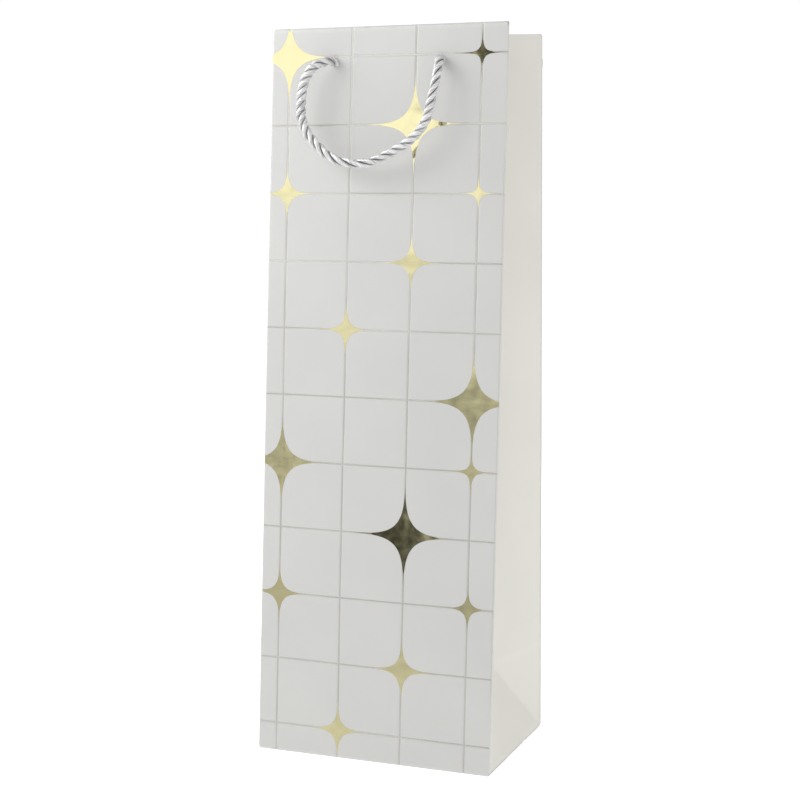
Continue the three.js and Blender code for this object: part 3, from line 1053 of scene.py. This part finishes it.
def make_print(word, foil, fine_foil):
    """The foil on a face: the grid's lines, and the stars over them."""
    shape = Shape()
    reach = WIDTH / 2 - PRINT_MARGIN
    top = HEIGHT - RIM_THICK
    for number, column in enumerate(COLUMNS):
        start = np.array([column, PRINT_MARGIN])
        add_line(shape, start, np.array([column, top]), number * 1.7)
    for number, row in enumerate(ROWS):
        add_line(shape, np.array([-reach, row]), np.array([reach, row]), 10 + number * 2.3)
    line_faces = len(shape.faces)
    for star in STARS:
        add_star(shape, *star)
    flat = np.array(shape.places)
    lifts = np.array(shape.lifts)
    points = np.stack([flat[:, 0], lifts, flat[:, 1]], -1)
    foils = [foil, fine_foil]
    piece = mesh_object(f"{word}_foil_print", points, shape.faces, foils, flat, sharp_from=0)
    for polygon in piece.data.polygons[:line_faces]:
        polygon.material_index = 1
    clip_print(piece.data, reach, PRINT_MARGIN, top)
    count = len(piece.data.vertices)
    places = np.zeros(3 * count)
    piece.data.vertices.foreach_get("co", places)
    across, lift, up = places.reshape(-1, 3).T
    moved = on_face(word, across, -swell(across, up) - lift, up)
    piece.data.vertices.foreach_set("co", moved.ravel())
    face_outwards(piece.data, word)
    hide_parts(f"{word}_foil")
    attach(piece, "bag")


def face_outwards(mesh, word):
    """Turns a print's faces to look away from the bag."""
    work = bmesh.new()
    work.from_mesh(mesh)
    work.normal_update()
    away = Vector((0, -FACES[word], 0))
    wrong = [face for face in work.faces if face.normal @ away < 0]
    bmesh.ops.reverse_faces(work, faces=wrong)
    work.to_mesh(mesh)
    work.free()
    mesh.update()


# Ropes


def distances_along(path):
    return np.concatenate([[0], np.cumsum(np.linalg.norm(np.diff(path, axis=0), axis=1))])


def unit_rows(vectors):
    return vectors / np.linalg.norm(vectors, axis=1)[:, None]


def between(t, low, high, first, second):
    return ((high - t) * first + (t - low) * second) / (high - low)


def spline(points, spacing):
    """A centripetal Catmull-Rom curve through the points, at an even spacing."""
    fineness = 24
    points = np.asarray(points, float)
    padded = np.vstack([2 * points[0] - points[1], points, 2 * points[-1] - points[-2]])
    dense = []
    for four in zip(padded, padded[1:], padded[2:], padded[3:]):
        gaps = [math.sqrt(np.linalg.norm(after - before)) for before, after in zip(four, four[1:])]
        knots = np.cumsum([0, *gaps])
        for t in np.linspace(knots[1], knots[2], fineness, endpoint=False):
            level = list(four)
            for reach in (1, 2):
                level = [
                    between(t, knots[k], knots[k + reach], level[k], level[k + 1])
                    for k in range(4 - reach)
                ]
            dense.append(between(t, knots[1], knots[2], *level))
    dense.append(points[-1])
    dense = np.array(dense)
    runs = distances_along(dense)
    even = np.linspace(0, runs[-1], int(round(runs[-1] / spacing)) + 1)
    return np.stack([np.interp(even, runs, dense[:, k]) for k in range(3)], -1)


def carried_frames(path):
    """Two directions across the path, at each of its points, that don't spin about it."""
    tangents = unit_rows(np.gradient(path, axis=0))
    steep = 0.8
    start = np.array([0, 0, 1.0]) if abs(tangents[0][2]) < steep else np.array([1.0, 0, 0])
    side = unit(np.cross(tangents[0], start))
    sides = []
    for tangent in tangents:
        side = unit(side - (side @ tangent) * tangent)
        sides.append(side)
    sides = np.array(sides)
    return sides, np.cross(tangents, sides)


def hump(shares, middle, width):
    """A smooth rise to 1 about the middle."""
    return np.exp(-(((shares - middle) / width) ** 2))


def twist_along(runs):
    """How far the strands have turned. Their twist is loose near the rope's middle."""
    shares = runs / runs[-1]
    loose = 1 + 0.85 * hump(shares, 0.48, 0.075) + 0.12 * np.sin(shares * 23)
    return 2 * math.pi * np.concatenate([[0], np.cumsum(np.diff(runs) / (PITCH * loose[1:]))])


def rope_mesh(name, path, satin, squeeze=1.0, flare=0.0, plump=0.0):
    """Three twisted strands along an evenly spaced path.

    flare loosens them over the last part, and plump fattens the rope about a quarter of the way.
    """
    flare_run = 0.008
    streak_slant = 0.55
    strand_apart = 0.02  # in the streaks' coordinates
    end_size = 0.55
    sides, ups = carried_frames(path)
    runs = distances_along(path)
    twist = twist_along(runs)
    opening = 1 + flare * smooth((runs - runs[-1] + flare_run) / flare_run)
    fat = 1 + plump * hump(runs / runs[-1], 0.26, 0.17)
    around = np.linspace(0, 2 * math.pi, STRAND_SIDES, endpoint=False)
    inner = 0.5 - 0.5 * np.cos(around)
    points, flat, groove, faces = [], [], [], []
    for strand in range(3):
        turn = twist + 2 * math.pi * strand / 3
        offset = np.cos(turn)[:, None] * sides + np.sin(turn)[:, None] * ups
        middle = path + offset * (STRAND_AT * squeeze * opening * fat)[:, None]
        along = unit_rows(np.gradient(middle, axis=0))
        outward = unit_rows(offset - np.sum(offset * along, axis=1)[:, None] * along)
        beside = np.cross(along, outward)
        faces += tube_faces(len(points), len(path), STRAND_SIDES)
        for k, run in enumerate(runs):
            lobes = np.abs(np.cos(YARNS / 2 * (around + run / YARN_PITCH * 2 * math.pi)))
            uneven = 1 + 0.05 * math.sin(run * 310 + strand * 2.4)
            radius = STRAND * squeeze * uneven * fat[k] * (0.94 + 0.075 * lobes)
            if k in (0, len(path) - 1):
                radius = radius * end_size
            outwards = (radius * np.cos(around))[:, None] * outward[k]
            sideways = (radius * np.sin(around))[:, None] * beside[k]
            points.extend(middle[k] + outwards + sideways)
            flat.extend(
                (angle * STRAND + strand * strand_apart - run * streak_slant, run)
                for angle in around
            )
            # How far a point lies in the groove between strands, where the rope's material paints
            # shade.
            groove.extend(np.clip(1.25 * inner - 0.12 + 0.10 * (1 - lobes), 0, 1))
    return mesh_object(name, points, faces, [satin], flat, {"groove": groove}, sharp_from=0)


def knot_path(word, side):
    """An overhand knot behind a hole, most of a trefoil, and its tail hanging below it."""
    size = 0.00150
    deep = 1.3
    entry = (0, ROPE_INSIDE - 0.003, 0)
    turns = []
    for t in np.linspace(0.62 * math.pi, 2.30 * math.pi, 26):
        across = size * (math.sin(t) + 2 * math.sin(2 * t))
        depth = size * deep * -math.sin(3 * t)
        up = size * (math.cos(t) - 2 * math.cos(2 * t))
        turns.append((across, KNOT_DEPTH + depth, up))
    end = turns[-1]
    tail = [
        (end[0] * (1 - share) * 0.6, KNOT_DEPTH + 0.001, end[2] - 0.002 - TAIL * share)
        for share in (0.25, 0.6, 1.0)
    ]
    return [
        on_face(word, side * (HOLE_SPACING / 2 + x), depth, HOLE_UP + up)
        for x, depth, up in (entry, *turns, *tail)
    ]


def make_knot(word, side, satin):
    label = "left" if side < 0 else "right"
    path = spline(knot_path(word, side), RING)
    piece = rope_mesh(f"{word}_knot_rope_{label}", path, satin, squeeze=0.86, flare=0.35)
    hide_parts(f"{word}_knot_{label}")
    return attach(piece, "bag")


def make_rope(word, satin):
    """The handle: a rope that hangs from one hole to the other, knotted behind both."""
    route = [(x / 1000, -out / 1000, HOLE_UP + up / 1000) for x, out, up in ROUTE_MM]
    inside = [(side * HOLE_SPACING / 2, ROPE_INSIDE, HOLE_UP) for side in (-1, 1)]
    route = [inside[0], *route, inside[1]]
    placed = [on_face(word, *point) for point in route]
    path = spline(placed, RING)
    piece = rope_mesh(f"{word}_rope", path, satin, plump=0.11)
    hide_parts(f"{word}_handle", f"{word}_cord_end_left", f"{word}_cord_end_right")
    stand_out = 0.0105  # how far out from the panel and down from the holes; the point made from them is not used
    drop = 0.010
    hole = on_face(word, 0, 0, HOLE_UP)
    swung = on_face(word, 0, -stand_out, HOLE_UP - drop)
    knots = [make_knot(word, side, satin) for side in (-1, 1)]
    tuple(placed[1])
    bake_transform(piece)


# Assembly


def paint_cad(node, material):
    """Gives a solid of the model, kept as it is, its looks."""
    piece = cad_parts[node]
    piece.data.materials.clear()
    piece.data.materials.append(material)


def make_ropes():
    satin = satin_rope("satin_rope")
    for word in FACES:
        make_rope(word, satin)


def make_paper():
    """The folded sheets and their print."""
    pearl = ((0.592, 0.589, 0.574, 1), (0.574, 0.572, 0.560, 1))
    # The sides are the same sheet as the front and back, painted lighter and warmer: a painted lit
    # copy of the paper.
    cream_painted_lit = ((0.725, 0.715, 0.665, 1), (0.705, 0.696, 0.648, 1))
    paper = coated_paper("coated_paper", *pearl, 0.42, stamped=True)
    side_paper_painted_lit = coated_paper("side_coated_paper", *cream_painted_lit, 0.5)
    back_of_paper = raw_paper("uncoated_paper", Nodes.flat, (900, 260, 1), 0.85)
    gold = ((0.88, 0.80, 0.45, 1), (0.94, 0.89, 0.55, 1))
    pale_gold = ((0.64, 0.63, 0.58, 1), (0.74, 0.73, 0.68, 1))
    foil = stamped_foil("gold_foil", *gold, 1.0, 0.05)
    fine_foil = stamped_foil("gold_foil_lines", *pale_gold, 0.55, 0.18)
    for word in FACES:
        make_face(word, paper, back_of_paper)
        make_print(word, foil, fine_foil)
    for word in SIDES:
        make_side(word, side_paper_painted_lit, back_of_paper)


def paint_solids():
    """The cards and flaps that stay as the model has them."""
    card = chip_card("chipboard")
    loose_paper = raw_paper("loose_paper", Nodes.place, (900, 900, 260), 0.8)
    for node in ("front_rim_card", "back_rim_card", "bottom_card"):
        paint_cad(node, card)
    for node in ("seam_tab", "bottom_flap_left", "bottom_flap_right"):
        paint_cad(node, loose_paper)


def make_lights():
    panel = (0, -0.04, 0.22)
    area_light("key", (-0.42, -0.26, 0.50), panel, 0.38, 1.3, glossy=True)
    area_light("front", (-0.22, -0.36, 0.50), panel, 0.30, 0.5)
    area_light("rear", (0.05, 0.85, 0.50), (0, 0.04, 0.20), 0.40, 2.2)
    area_light("fill", (0.85, 0.05, 0.46), (0.05, 0, 0.24), 0.40, 1.5, (1, 0.98, 0.94))


make_camera()
make_ropes()
make_paper()
paint_solids()

bpy.context.scene.view_settings.view_transform = "Standard"
make_floor()
make_world()
make_lights()
